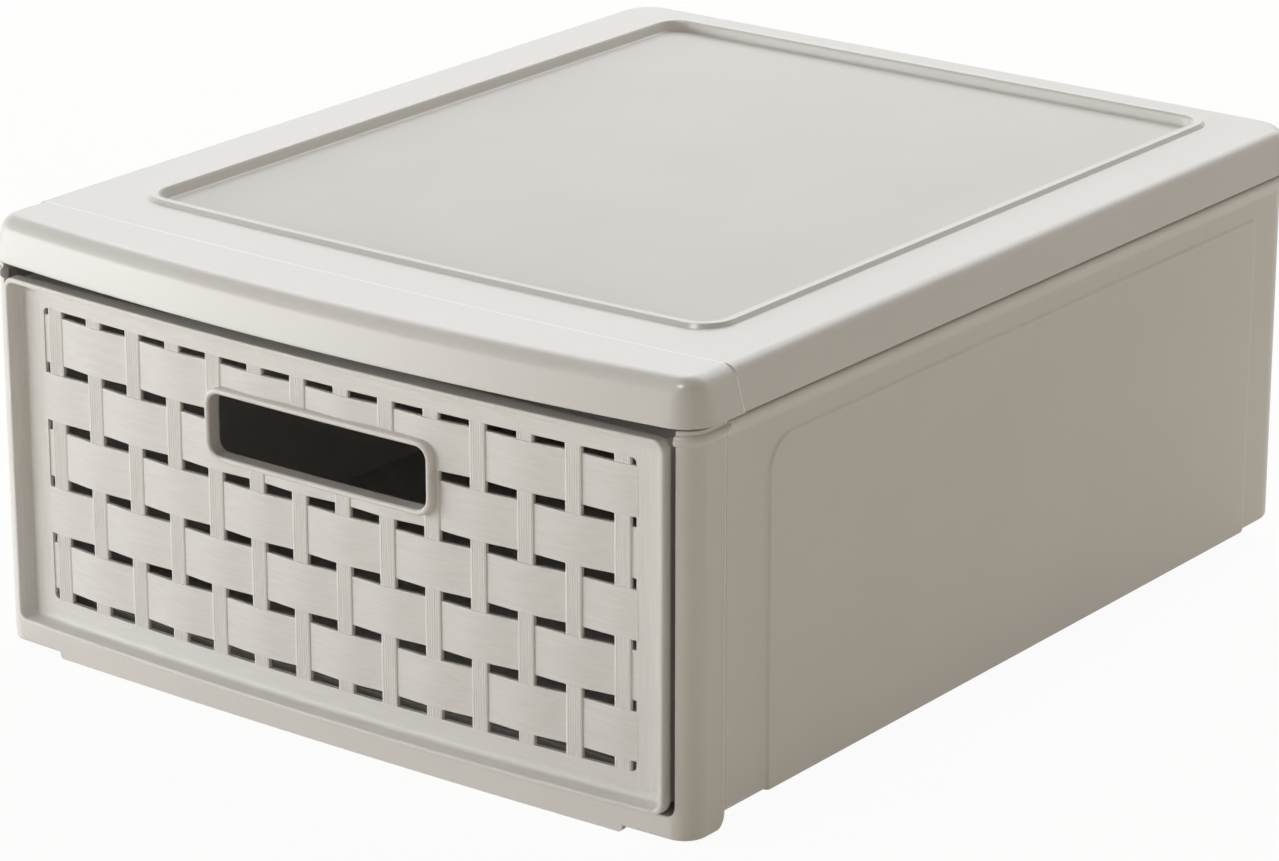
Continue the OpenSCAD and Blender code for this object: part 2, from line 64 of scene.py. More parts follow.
# ---- Housing ----
# The body of the box: floor, two side walls and a rear wall, moulded in one piece of light-grey
# polypropylene. A rolled collar runs round the top, an upright edge inside it carries the lid, and
# a foot ring underneath drops round the stacking ring of the box below.
LIP_Z = 152.7
LID_Z = 169.0
HALF = 162.2
WALL = 2.6
WALL_Z = 8.4
FLOOR_Z = 10.8
COLLAR_Z = 151.5
COLLAR_LOW = 149.7
COLLAR_OUT = 1.7
COLLAR_UNDER = [(0.5, 1.4), (0.7, 1.6), (0.4, 1.2), (0.1, 0.9)]
SHOULDER = 2.4
SEAM_Y = -175.8
REAR_Y = 201.7
REAR_R = 15.0
EDGE_IN = 7.0
EDGE_Z = 166.3
FOOT_HALF = 140.2
FOOT_REAR = 194.0
FOOT_R = 19.5
FOOT_W = 4.5
FOOT_DRAFT = 0.15
FOOT_CHAMFER = 0.5
FOOT_TIP = 0.8
BOTTOM_R = 1.5
PANEL_T = 0.8
RUN_OUT = 20.0


def block(name, low, high):
    """Adds a block between two corners, in millimetres, and opens it for editing."""
    if bpy.context.mode != "OBJECT":
        bpy.ops.object.mode_set(mode="OBJECT")
    bpy.ops.object.select_all(action="DESELECT")
    middle = [(a + b) / 2 * MM for a, b in zip(low, high)]
    bpy.ops.mesh.primitive_cube_add(size=1, location=middle)
    piece = bpy.context.object
    piece.name = piece.data.name = name
    piece.scale = [(b - a) * MM for a, b in zip(low, high)]
    bpy.ops.object.transform_apply(location=True, rotation=True, scale=True)
    bpy.ops.object.mode_set(mode="EDIT")
    bpy.ops.mesh.select_all(action="DESELECT")
    return piece


def pick(kind, test):
    """Selects the vertices, edges or faces that pass a test on their middle (mm) and direction."""
    bpy.ops.mesh.select_all(action="DESELECT")
    bpy.ops.mesh.select_mode(type=kind)
    mesh = bpy.context.edit_object.data
    bm = bmesh.from_edit_mesh(mesh)
    if kind == "FACE":
        for f in bm.faces:
            f.select_set(bool(test(f.calc_center_median() / MM, f.normal)))
    elif kind == "EDGE":
        for e in bm.edges:
            a, b = (v.co / MM for v in e.verts)
            e.select_set(bool(test((a + b) / 2, b - a)))
    else:
        for v in bm.verts:
            v.select_set(bool(test(v.co / MM, v.normal)))
    bm.select_flush_mode()
    bmesh.update_edit_mesh(mesh)


def steps(profile):
    """Carries the picked face inwards and outwards along a profile of (inwards, forwards) steps."""
    for inwards, forwards in profile:
        if inwards > 0:
            bpy.ops.mesh.inset(thickness=inwards * MM, depth=forwards * MM)
        else:
            bpy.ops.mesh.extrude_region_shrink_fatten(
                TRANSFORM_OT_shrink_fatten={"value": forwards * MM})


def rounding(radius, first, last, count):
    """Steps of a round from one angle to another, in degrees; 0 is upright and 90 is level."""
    at = [radians(first + (last - first) * i / count) for i in range(count + 1)]
    return [(radius * (cos(a) - cos(b)), radius * (sin(b) - sin(a))) for a, b in zip(at, at[1:])]


def turn_in(radius, count):
    """Steps of the round at the inner side of a ridge, from level to straight back."""
    at = [radians(90 * i / count) for i in range(count + 1)]
    return [(radius * (sin(b) - sin(a)), radius * (cos(b) - cos(a))) for a, b in zip(at, at[1:])]


def round_edges(test, radius, segments):
    pick("EDGE", test)
    bpy.ops.mesh.bevel(offset=radius * MM, segments=segments, affect="EDGES")


def divide_edges(test, cuts):
    pick("EDGE", test)
    bpy.ops.mesh.subdivide(number_cuts=cuts)


def face_outwards():
    """Turns the faces of the piece being edited the same way, outwards where it is closed."""
    pick("FACE", lambda m, n: True)
    bpy.ops.mesh.normals_make_consistent(inside=False)


def move(place):
    """Moves the vertices of the piece being edited; place gives a vertex's new place in mm."""
    mesh = bpy.context.edit_object.data
    bm = bmesh.from_edit_mesh(mesh)
    for v in bm.verts:
        v.co = Vector(place(v.co / MM)) * MM
    bm.normal_update()
    bmesh.update_edit_mesh(mesh)


def fill_open(test):
    """Fills between the open edges that pass a test on both of their ends, in mm."""
    pick("EDGE", lambda m, d: False)
    mesh = bpy.context.edit_object.data
    bm = bmesh.from_edit_mesh(mesh)
    for e in bm.edges:
        e.select_set(len(e.link_faces) < 2 and all(test(v.co / MM) for v in e.verts))
    bmesh.update_edit_mesh(mesh)
    bpy.ops.mesh.fill()


def leave_edit():
    bpy.ops.object.mode_set(mode="OBJECT")


def apply(piece, kind, **settings):
    """Adds a modifier with its settings to a piece and applies it."""
    bpy.context.view_layer.objects.active = piece
    modifier = piece.modifiers.new(kind.lower(), kind)
    for name, value in settings.items():
        setattr(modifier, name, value)
    bpy.ops.object.modifier_apply(modifier=modifier.name)


def combine(piece, other, operation):
    """Cuts another block out of a piece, or welds it on, and removes the other."""
    leave_edit()
    apply(piece, "BOOLEAN", operation=operation, object=other, solver="EXACT")
    bpy.data.objects.remove(other)


def open_again(piece):
    bpy.ops.object.select_all(action="DESELECT")
    bpy.context.view_layer.objects.active = piece
    piece.select_set(True)
    bpy.ops.object.mode_set(mode="EDIT")


def finish_piece(piece, body, nodes, angle=30):
    """Smooths a piece, keeps its flat faces flat, ties it to its body, and hides the CAD nodes it
    stands in for.
    """
    if bpy.context.mode != "OBJECT":
        leave_edit()
    bpy.ops.object.select_all(action="DESELECT")
    bpy.context.view_layer.objects.active = piece
    piece.select_set(True)
    bpy.ops.object.shade_smooth_by_angle(angle=radians(angle))
    apply(piece, "WEIGHTED_NORMAL", mode="FACE_AREA", weight=60, keep_sharp=True)
    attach(piece, body)
    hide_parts(*nodes)


front_cut = SEAM_Y - RUN_OUT
wide = HALF + COLLAR_OUT
housing = block("housing", (-wide, front_cut, COLLAR_LOW),
                (wide, REAR_Y + COLLAR_OUT, COLLAR_LOW + 0.2))
round_edges(lambda m, d: abs(d.z) > 0.1 and m.y > 0, REAR_R + COLLAR_OUT, 12)
pick("FACE", lambda m, n: n.z > 0.9)
steps(rounding(COLLAR_OUT, 0, 90, 5))
steps([(EDGE_IN, 0), (0, EDGE_Z - COLLAR_Z)])
pick("FACE", lambda m, n: n.z < -0.9)
steps(COLLAR_UNDER)
steps([(0, COLLAR_LOW - sum(down for _, down in COLLAR_UNDER) - WALL_Z - BOTTOM_R)])
steps(rounding(BOTTOM_R, 0, 90, 4))
# The foot ring, let into the underside
bpy.ops.mesh.delete(type="ONLY_FACE")
foot_front = front_cut + 5
bpy.ops.mesh.primitive_plane_add(size=1, location=(0, (foot_front + FOOT_REAR) / 2 * MM,
                                                   WALL_Z * MM))
bpy.ops.transform.resize(value=(2 * FOOT_HALF * MM, (FOOT_REAR - foot_front) * MM, 1))
bpy.ops.mesh.flip_normals()
pick("VERT", lambda c, n: abs(c.z - WALL_Z) < 0.01 and abs(c.x) < FOOT_HALF + 1
     and 0 < c.y < FOOT_REAR + 1)
bpy.ops.mesh.bevel(offset=FOOT_R * MM, segments=10, affect="VERTICES")
pick("FACE", lambda m, n: abs(n.z) > 0.9 and abs(m.z - WALL_Z) < 0.01)
outer = [(FOOT_DRAFT, WALL_Z - FOOT_TIP), (FOOT_CHAMFER, FOOT_TIP)]
inner = [(inwards, -down) for inwards, down in reversed(outer)]
steps(outer + [(FOOT_W - 2 * (FOOT_DRAFT + FOOT_CHAMFER), 0)] + inner)
fill_open(lambda c: abs(c.z - WALL_Z) < 0.01)
pick("VERT", lambda c, n: True)
bpy.ops.mesh.bisect(plane_co=(0, SEAM_Y * MM, 0), plane_no=(0, -1, 0), clear_outer=True,
                    use_fill=True)
face_outwards()


def room(name, half, y0, y1, z0, z1, corner_r):
    """A block with round rear corners, to hollow out the housing or to fill the drawer's tray."""
    inside = block(name, (-half, y0, z0), (half, y1, z1))
    round_edges(lambda m, d: abs(d.z) > 1 and m.y > 0, corner_r, 8)
    return inside


combine(housing, room("room", HALF - WALL, -300, REAR_Y - WALL, FLOOR_Z, COLLAR_Z - SHOULDER,
                      REAR_R - WALL), "DIFFERENCE")
combine(housing, room("neck", HALF - EDGE_IN - WALL, -300, REAR_Y - EDGE_IN - WALL, 140, 200,
                      REAR_R - EDGE_IN - WALL), "DIFFERENCE")

# The side panels stand out a little, with a large radius at the upper front corner
PANEL_FRONT = SEAM_Y + 24
PANEL_REAR = REAR_Y - 29
PANEL_TOP = 138.4
PANEL_R = 13.0
PANEL_EDGE = 0.78
PANEL_SLOPE = 1.5
for side in (1, -1):
    near, far = sorted((side * (HALF - 1), side * (HALF + PANEL_T)))
    panel = block("panel", (near, PANEL_FRONT, WALL_Z + 0.02), (far, PANEL_REAR, PANEL_TOP))
    round_edges(lambda m, d: abs(d.x) > 0.5 and m.z > 50 and m.y < 0, PANEL_R, 10)
    round_edges(lambda m, d: abs(d.x) > 0.5 and m.z > 50 and m.y > PANEL_REAR - 1, 3, 5)
    round_edges(lambda m, d: abs(m.x) > HALF + 0.1 and abs(d.x) < 0.1 and m.z > WALL_Z + 1,
                PANEL_EDGE, 1)
    # The rear edge slopes off over a longer way
    move(lambda c: (c.x, c.y - (PANEL_SLOPE if abs(c.x) > HALF + 0.7 and c.y > PANEL_REAR - 5
                                else 0), c.z))
    combine(housing, panel, "UNION")

# Runner ribs and side guides on the floor: inner side, outer side and height of each
RIBS = ((125.0, 131.0, 1.2), (151.8, 153.8, 14.0))
for side in (1, -1):
    for near, far, high in RIBS:
        rib = block("rib", (min(side * near, side * far), SEAM_Y + 0.01, FLOOR_Z - 0.3),
                    (max(side * near, side * far), REAR_Y - 20, FLOOR_Z + high))
        round_edges(lambda m, d: m.z > FLOOR_Z + high - 0.1, 0.4, 2)
        combine(housing, rib, "UNION")


def link(tree, source, target):
    """Links the socket (node, name) to the socket (node, name)."""
    tree.links.new(source[0].outputs[source[1]], target[0].inputs[target[1]])


def add(tree, kind, inputs=(), **settings):
    """Adds a node to a material, with its settings, and its inputs as values or (node, output)."""
    node = tree.nodes.new(kind)
    for name, value in settings.items():
        setattr(node, name, value)
    for name, value in dict(inputs).items():
        if isinstance(value, tuple) and isinstance(value[0], bpy.types.Node):
            link(tree, value, (node, name))
        else:
            node.inputs[name].default_value = value
    return node


def colour(code):
    """The linear colour of an sRGB hex value."""
    parts = [int(code[i:i + 2], 16) / 255 for i in (1, 3, 5)]
    return tuple(c / 12.92 if c <= 0.04045 else ((c + 0.055) / 1.055) ** 2.4 for c in parts) + (1,)


def moulded(name, pale, deep, roughness, grain, depth, stretch=(1, 1, 1), lines=0.0):
    """Injection-moulded polypropylene: cloudy in tone by a hair, with the mould's surface in the
    gloss and the bump. grain is the size of that texture in mm, stretch draws it out into lines,
    and lines is how much of the tone follows them."""
    material = bpy.data.materials.new(name)
    material.use_nodes = True
    tree = material.node_tree
    shader = tree.nodes["Principled BSDF"]
    place = add(tree, "ShaderNodeTexCoord")
    scaled = add(tree, "ShaderNodeMapping", {"Vector": (place, "Object"), "Scale": stretch})
    cloud = add(tree, "ShaderNodeTexNoise", {"Vector": (place, "Object"), "Scale": 14.0,
                                             "Detail": 2.0, "Roughness": 0.5})
    fine = add(tree, "ShaderNodeTexNoise", {"Vector": (scaled, "Vector"),
                                            "Scale": 1000 / grain, "Detail": 3.0,
                                            "Roughness": 0.6})
    shade = add(tree, "ShaderNodeMix", {"Factor": lines, "A": (cloud, "Fac"), "B": (fine, "Fac")})
    tone = add(tree, "ShaderNodeValToRGB", {"Fac": (shade, "Result")})
    tone.color_ramp.elements[0].position = 0.35
    tone.color_ramp.elements[0].color = colour(deep)
    tone.color_ramp.elements[1].position = 0.65
    tone.color_ramp.elements[1].color = colour(pale)
    gloss = add(tree, "ShaderNodeMapRange", {"Value": (fine, "Fac"), "To Min": roughness - 0.05,
                                             "To Max": roughness + 0.05})
    bump = add(tree, "ShaderNodeBump", {"Height": (fine, "Fac"), "Distance": depth * MM,
                                        "Strength": 1.0})
    link(tree, (tone, "Color"), (shader, "Base Color"))
    link(tree, (gloss, "Result"), (shader, "Roughness"))
    link(tree, (bump, "Normal"), (shader, "Normal"))
    shader.inputs["IOR"].default_value = 1.49
    shader.inputs["Specular IOR Level"].default_value = 0.33
    return material


# Polypropylene from a spark-eroded mould: a fine matt grain of about half a millimetre, which
# gives the side walls their soft, even sheen
satin = moulded("polypropylene_satin", "#DDDBD7", "#DAD8D4", 0.42, 0.6, 0.012)
housing.data.materials.append(satin)
finish_piece(housing, "housing", ["base_shell"])


# ---- Front frame ----
# Two round-cornered posts and a bottom rail round the drawer opening, in the housing's plastic and
# joined to it at the fine seam. A bead runs round the head of each post, a plinth stands under the
# rail, and a bar hidden behind the hood joins the posts' heads and stops the drawer.
FRAME_Y = -198.4
RAIL_BOW = 2.9
POST_R = 9.0
POST_Z = 2.3
OPEN_HALF = 155.0
OPEN_R = 4.0
BEAD_Z = 148.0
BEAD_R = 2.0
BEAD_SIDE = 0.1
BEAD_TUCK = (0.182, 0.1)
BEAD_HALF_H = 2.13
HEAD_Z = 162.0
FOOT_ROUND = 6.0
POST_EDGE = 1.2
SEAM_STEP = 0.3
RIDGE = 0.6
RIDGE_HIGH = 0.05


def bow(rise, half):
    """How far a bowed front has fallen back at x."""
    return lambda x: rise * (x / half) ** 2


def raised_line(at):
    """Raises the hair-fine line that the mould leaves just ahead of the seam at y = at."""
    for back in (RIDGE, RIDGE / 2):
        pick("VERT", lambda c, n: True)
        bpy.ops.mesh.bisect(plane_co=(0, (at - back) * MM, 0), plane_no=(0, 1, 0))
    pick("VERT", lambda c, n: abs(c.y - at + RIDGE / 2) < 0.01)
    bpy.ops.transform.shrink_fatten(value=RIDGE_HIGH * MM)


def paint_seam_highlight(piece, at):
    """Paints the raised line paler, as a painted highlight; at gives the seam's y for an x."""
    piece.data.materials.append(seam_painted_highlight)
    for f in piece.data.polygons:
        x, y, z = f.center / MM
        if 0 < at(x) - y < RIDGE and abs(f.normal.y) < 0.9:
            f.material_index = len(piece.data.materials) - 1


rail_curve = bow(RAIL_BOW, HALF - POST_R)
narrow = wide - SEAM_STEP
post_frame = block("front_posts", (-narrow, FRAME_Y - COLLAR_OUT, BEAD_Z - BEAD_SIDE),
                   (narrow, SEAM_Y + RUN_OUT, BEAD_Z + BEAD_SIDE))
round_edges(lambda m, d: abs(d.z) > 0.1 and m.y < -190, POST_R + COLLAR_OUT, 12)
for up in (1, -1):
    pick("FACE", lambda m, n: n.z * up > 0.9)
    steps(rounding(BEAD_R, 0, 75, 5))
    steps([BEAD_TUCK])
    if up > 0:
        steps([(0, COLLAR_Z - BEAD_Z - BEAD_HALF_H - 0.3), (0.2, 0.2), (3.4, 0),
               (0, HEAD_Z - COLLAR_Z)])
    else:
        steps([(0, BEAD_Z - BEAD_HALF_H - POST_Z - POST_EDGE)])
        steps(rounding(POST_EDGE, 0, 90, 4))
divide_edges(lambda m, d: abs(d.x) > 200 and m.y < -185, 40)
move(lambda c: (c.x, c.y + (rail_curve(c.x) if c.y < -180 else 0)
                + (1.8 if c.z > COLLAR_Z + 0.1 and c.y < -180 else 0), c.z))
face_outwards()
# The posts end at the seam, and their feet are round at the rear
keep = block("keep", (-200, -260, POST_Z - 1), (200, SEAM_Y, 300))
move(lambda c: (c.x, c.y, max(c.z, POST_Z - 0.02)))
round_edges(lambda m, d: abs(d.x) > 200 and m.y > SEAM_Y - 1 and m.z < 10, FOOT_ROUND, 8)
combine(post_frame, keep, "INTERSECT")


def hollow(name, z0, z1):
    inside = block(name, (-HALF + WALL, FRAME_Y + WALL, z0), (HALF - WALL, -100, z1))
    round_edges(lambda m, d: abs(d.z) > 1 and m.y < -150, POST_R - WALL, 8)
    divide_edges(lambda m, d: abs(d.x) > 200 and m.y < -185, 40)
    move(lambda c: (c.x, c.y + (rail_curve(c.x) if c.y < -180 else 0), c.z))
    return inside


combine(post_frame, hollow("behind", FLOOR_Z, COLLAR_Z - SHOULDER), "DIFFERENCE")
combine(post_frame, hollow("below", -10, WALL_Z), "DIFFERENCE")
opening = block("opening", (-OPEN_HALF, -250, FLOOR_Z), (OPEN_HALF, -100, 300))
round_edges(lambda m, d: abs(d.y) > 50 and m.z < 50, OPEN_R, 6)
combine(post_frame, opening, "DIFFERENCE")
PLINTH_HALF = 133.0
PLINTH_R = 2.0
plinth = block("plinth", (-PLINTH_HALF, FRAME_Y + 0.02, 0),
               (PLINTH_HALF, FRAME_Y + WALL, POST_Z + 1.8))
round_edges(lambda m, d: abs(d.y) > 1 and m.z < 1, PLINTH_R, 5)
divide_edges(lambda m, d: abs(d.x) > 200, 40)
round_edges(lambda m, d: m.z < 0.01 and m.y < FRAME_Y + 0.1 and abs(d.y) < 0.1, 0.4, 2)
move(lambda c: (c.x, c.y + rail_curve(c.x), c.z))
combine(post_frame, plinth, "UNION")
bar = block("bar", (-157, -190.5, 153.2), (157, -186.5, HEAD_Z))
round_edges(lambda m, d: abs(d.x) > 100, 0.5, 2)
combine(post_frame, bar, "UNION")
open_again(post_frame)
round_edges(lambda m, d: m.y < -190 and FLOOR_Z - 0.1 < m.z < 144 and abs(m.x) < OPEN_HALF + 0.1
            and m.y < FRAME_Y + rail_curve(m.x) + 0.15
            and (abs(abs(m.x) - OPEN_HALF) < OPEN_R + 0.1 or abs(m.z - FLOOR_Z) < 0.1), 0.7, 3)
raised_line(SEAM_Y)
leave_edit()
# The same polypropylene, painted paler where it forms the raised line at a seam: a painted
# highlight that makes the line read bright
seam_painted_highlight = moulded("polypropylene_seam_painted_highlight", "#F6F5F2", "#F2F0EC", 0.3, 0.5, 0.002)
post_frame.data.materials.append(satin)
# The raised line at the seam gets a painted highlight, a paler tone
paint_seam_highlight(post_frame, lambda x: SEAM_Y)
finish_piece(post_frame, "housing", ["front_frame"])


# ---- Lid ----
# The lid, moulded in the same plastic, is clipped over the housing and carries the next box. Its
# skirt hangs over the collar, its top edge is round, and a raised ring surrounds a sunk panel.
LID_HALF = 164.0
LID_REAR = 206.5
LID_R = 18.0
LID_WALL = 2.4
LID_SEAM = -173.2
SEAM_BOW = 4.0
FLARE = 2.4
LEAN = 8
LID_EDGE_R = 5.0
RING_HALF = 134.7
RING_FRONT = -149.7
RING_REAR = 188.5
RING_R = 14.0
# The ring from outside to inside as (inwards, upwards) steps: up, over, and down to the sunk panel
RING_PROFILE = [(1.1, 1.3), (0.2, 0.2), (2.6, 0), (0.4, -0.1), (0.4, -0.4), (0.3, -0.6),
                (0.4, -2.3), (0.3, -0.65), (0.7, -0.45)]

seam_curve = bow(SEAM_BOW, LID_HALF)


def skirt(edge_r):
    """Profile of a skirt: the sloping side and the round top edge."""
    inwards = FLARE + edge_r * (1 - cos(radians(LEAN)))
    rise = LID_Z - edge_r * (1 - sin(radians(LEAN))) - LIP_Z - 1.0
    return [(inwards, rise)] + rounding(edge_r, LEAN, 90, 12)


lid = block("lid_top", (-LID_HALF, LID_SEAM - RUN_OUT, LIP_Z), (LID_HALF, LID_REAR, LIP_Z + 1.0))
round_edges(lambda m, d: abs(d.z) > 0.5 and m.y > 0, LID_R, 12)
pick("FACE", lambda m, n: n.z > 0.9)
steps(skirt(LID_EDGE_R))
pick("FACE", lambda m, n: n.z < -0.9)
bpy.ops.mesh.delete(type="FACE")
pick("VERT", lambda c, n: True)
bpy.ops.mesh.bisect(plane_co=(0, LID_SEAM * MM, 0), plane_no=(0, -1, 0), clear_outer=True)
divide_edges(lambda m, d: abs(d.x) > 200 and abs(m.y - LID_SEAM) < 0.01, 40)
# The ring and the sunk panel take the place of the middle of the top
pick("FACE", lambda m, n: n.z > 0.99 and abs(m.z - LID_Z) < 0.01)
bpy.ops.mesh.delete(type="ONLY_FACE")
bpy.ops.mesh.primitive_plane_add(size=1, location=(0, (RING_FRONT + RING_REAR) / 2 * MM,
                                                   LID_Z * MM))
bpy.ops.transform.resize(value=(2 * RING_HALF * MM, (RING_REAR - RING_FRONT) * MM, 1))
pick("VERT", lambda c, n: abs(c.z - LID_Z) < 0.01 and abs(abs(c.x) - RING_HALF) < 0.1
     and (abs(c.y - RING_FRONT) < 0.1 or abs(c.y - RING_REAR) < 0.1))
bpy.ops.mesh.bevel(offset=RING_R * MM, segments=10, affect="VERTICES")
divide_edges(lambda m, d: abs(d.x) > 200 and abs(m.y - RING_FRONT) < 0.01, 30)
move(lambda c: (c.x, c.y + (seam_curve(c.x) if c.y < RING_FRONT + RING_R + 0.01 else 0), c.z))
pick("FACE", lambda m, n: n.z > 0.99 and abs(m.z - LID_Z) < 0.01)
steps(RING_PROFILE)
panel_z = LID_Z + sum(up for _, up in RING_PROFILE)
fill_open(lambda c: abs(c.z - LID_Z) < 0.01)
face_outwards()
# The sheet is still open, so it is turned over where its top faces down
bm = bmesh.from_edit_mesh(lid.data)
if sum(f.normal.z * f.calc_area() for f in bm.faces) < 0:
    bpy.ops.mesh.flip_normals()
leave_edit()
apply(lid, "SOLIDIFY", thickness=LID_WALL * MM, offset=-1, use_even_offset=True)

# The same polypropylene; the top has a slightly glossier finish, and the panel a finer, duller one,
# whose colour is also painted a little darker as shade
sheen = moulded("polypropylene_fine_satin", "#DDDBD7", "#DBD9D5", 0.32, 0.5, 0.004)
matt_panel_painted_shade = moulded("polypropylene_matt_panel_painted_shade", "#D6D4CF", "#D3D1CC", 0.55, 0.4, 0.01)
lid.data.materials.append(sheen)
lid.data.materials.append(matt_panel_painted_shade)
# The sunk panel's faces take the matt finish, whose darker tone is painted shade
for f in lid.data.polygons:
    if abs(f.center.z / MM - panel_z) < 0.1 and f.normal.z > 0.9:
        f.material_index = 1
finish_piece(lid, "housing", ["lid"])


# ---- Front hood ----
# The bowed front band of the lid, in the same plastic and joined to it at the fine seam, where it
# stands a little proud. It has a larger round along its top edge, and shades the gap below.
HOOD_HALF = 164.55
HOOD_FRONT = -206.5
HOOD_R = 12.0
HOOD_BOW = 9.0
HOOD_EDGE_R = 7.0

hood_curve = bow(HOOD_BOW, LID_HALF - HOOD_R)
hood = block("hood", (-HOOD_HALF, HOOD_FRONT, LIP_Z), (HOOD_HALF, LID_SEAM + RUN_OUT, LIP_Z + 1.0))
round_edges(lambda m, d: abs(d.z) > 0.5 and m.y < -195, HOOD_R, 12)
pick("FACE", lambda m, n: n.z > 0.9)
steps(skirt(HOOD_EDGE_R))
pick("FACE", lambda m, n: n.z < -0.9)
bpy.ops.mesh.delete(type="FACE")
pick("VERT", lambda c, n: True)
bpy.ops.mesh.bisect(plane_co=(0, LID_SEAM * MM, 0), plane_no=(0, 1, 0), clear_outer=True)
raised_line(LID_SEAM)
divide_edges(lambda m, d: abs(d.x) > 200, 47)
move(lambda c: (c.x, c.y + (seam_curve(c.x) if c.y > LID_SEAM - RIDGE - 0.1 else
                            hood_curve(c.x) if c.y < -180 else 0), c.z))
leave_edit()
apply(hood, "SOLIDIFY", thickness=LID_WALL * MM, offset=-1, use_even_offset=True)
hood.data.materials.append(sheen)
# The raised line at the seam gets a painted highlight, a paler tone
paint_seam_highlight(hood, lambda x: LID_SEAM + seam_curve(x))
finish_piece(hood, "housing", ["front_hood"])


# ---- Drawer tray ----
# An open tray of the same plastic, joined to the woven front: floor, two sides, a rear wall and a
# low sill. Two lugs on its rim meet the bar behind the hood when the drawer is out.
TRAY_HALF = 151.0
TRAY_Z = 12.3
TRAY_TOP = 142.1
TRAY_WALL = 2.2
TRAY_REAR = 193.1
TRAY_R = 7.0
LUG_Y = 113.8
LUG_L = 8.0
LUG_Z = 157.2
FACE_Y = -197.2
FACE_BOW = 5.9
FLANGE_BACK = 9.8
FRONT_HALF = 152.4

face_curve = bow(FACE_BOW, FRONT_HALF)
tray = room("tray", TRAY_HALF, FACE_Y + FLANGE_BACK, TRAY_REAR, TRAY_Z, TRAY_TOP, TRAY_R)
round_edges(lambda m, d: m.z < TRAY_Z + 0.01 and m.y > -180, 2.0, 3)
pick("FACE", lambda m, n: n.z > 0.9)
steps([(TRAY_WALL, 0), (0, -(TRAY_TOP - TRAY_Z - TRAY_WALL))])
divide_edges(lambda m, d: abs(d.x) > 200 and m.y < -170, 30)
move(lambda c: (c.x, c.y + (face_curve(c.x) if c.y < -175 else 0), c.z))
combine(tray, block("over_sill", (-139, -250, TRAY_Z + 8), (139, -150, 300)), "DIFFERENCE")
for side in (1, -1):
    near, far = sorted((side * (TRAY_HALF - TRAY_WALL), side * TRAY_HALF))
    lug = block("lug", (near, LUG_Y, TRAY_TOP - 1), (far, LUG_Y + LUG_L, LUG_Z))
    round_edges(lambda m, d: abs(d.x) > 1 and m.z > LUG_Z - 0.2, 0.8, 2)
    combine(tray, lug, "UNION")
tray.data.materials.append(satin)
finish_piece(tray, "drawer", ["drawer_tray"])


# ---- Woven drawer front ----
# The bowed fascia, moulded in one piece with its basket weave: a thin rim like a picture frame, a
# flat surround sunk behind it, upright strips with fine ridges, and level bands that pass over and
# under the strips in turn, with open slits between them.
FRONT_Z = 11.3
FRONT_TOP = 148.1
FRONT_R = 5.0
RIM_AHEAD = 7.2
RIM_W = 2.6
FACE_T = 1.6
STRIPS = 14
BANDS = 5
PITCH = 20.2
STRIP_W = 7.0
ROW = 22.4
SLIT = 3.8
WEAVE_TOP = 136.7
WINDOW_TOP = 137.6
WINDOW_Z = 22.8
WINDOW_HALF = 137.2
SWING = 0.5
COVE = 1.8
RIM_BACK = 1.4
BACK_BOW = 1.4
FLANGE_IN = 1.4
RIDGE_H = 0.16
WINDOW_R = 2.0

plate = FACE_Y - FACE_T / 2 - 0.12
weave = block("woven_front", (-FRONT_HALF, FACE_Y - RIM_AHEAD + 0.7, FRONT_Z),
              (FRONT_HALF, FACE_Y + RIM_BACK, FRONT_TOP))
round_edges(lambda m, d: abs(d.y) > 5, FRONT_R, 8)
pick("FACE", lambda m, n: n.y < -0.9)
steps(rounding(0.7, 0, 90, 4) + [(0.7, 0)] + turn_in(0.6, 4))
steps([(0.4, -(RIM_AHEAD - FACE_T / 2 - 0.6 - COVE))])
steps([(a, -b) for a, b in rounding(COVE, 0, 90, 5)] + [(1.3, 0), (0.15, 0.12)])
# Behind the rim a smaller flange runs back to the tray
pick("FACE", lambda m, n: n.y > 0.9)
steps([(FLANGE_IN, 0), (0, FLANGE_BACK - RIM_BACK), (RIM_W, 0),
       (0, -(FLANGE_BACK - FACE_T / 2))])
# Both sides of the sunk surround, round the window that the weave fills
for out in (-1, 1):
    pick("FACE", lambda m, n: n.y * out > 0.9 and abs(m.x) < 1 and 60 < m.z < 100)
    bpy.ops.mesh.delete(type="ONLY_FACE")
back = FACE_Y + FACE_T / 2
bpy.ops.mesh.primitive_cube_add(size=1, location=(0, (plate + back) / 2 * MM,
                                                  (WINDOW_Z + WINDOW_TOP) / 2 * MM))
bpy.ops.transform.resize(value=(2 * WINDOW_HALF * MM, (back - plate) * MM,
                                (WINDOW_TOP - WINDOW_Z) * MM))
round_edges(lambda m, d: abs(d.y) > 0.1 and abs(abs(m.x) - WINDOW_HALF) < 0.1, WINDOW_R, 5)
pick("FACE", lambda m, n: abs(n.y) > 0.9 and abs(m.x) < 1 and 60 < m.z < 100)
bpy.ops.mesh.delete(type="ONLY_FACE")
divide_edges(lambda m, d: abs(d.x) > 200, 40)
for at in (plate, back):
    fill_open(lambda c: abs(c.y - at) < 0.06)
face_outwards()
# The face is bowed, but the rear edge of the rim is nearly straight, like the posts it closes on
back_curve = bow(BACK_BOW, FRONT_HALF)
move(lambda c: (c.x, c.y + (back_curve if abs(c.y - FACE_Y - RIM_BACK) < 0.01
                            else face_curve)(c.x), c.z))
leave_edit()


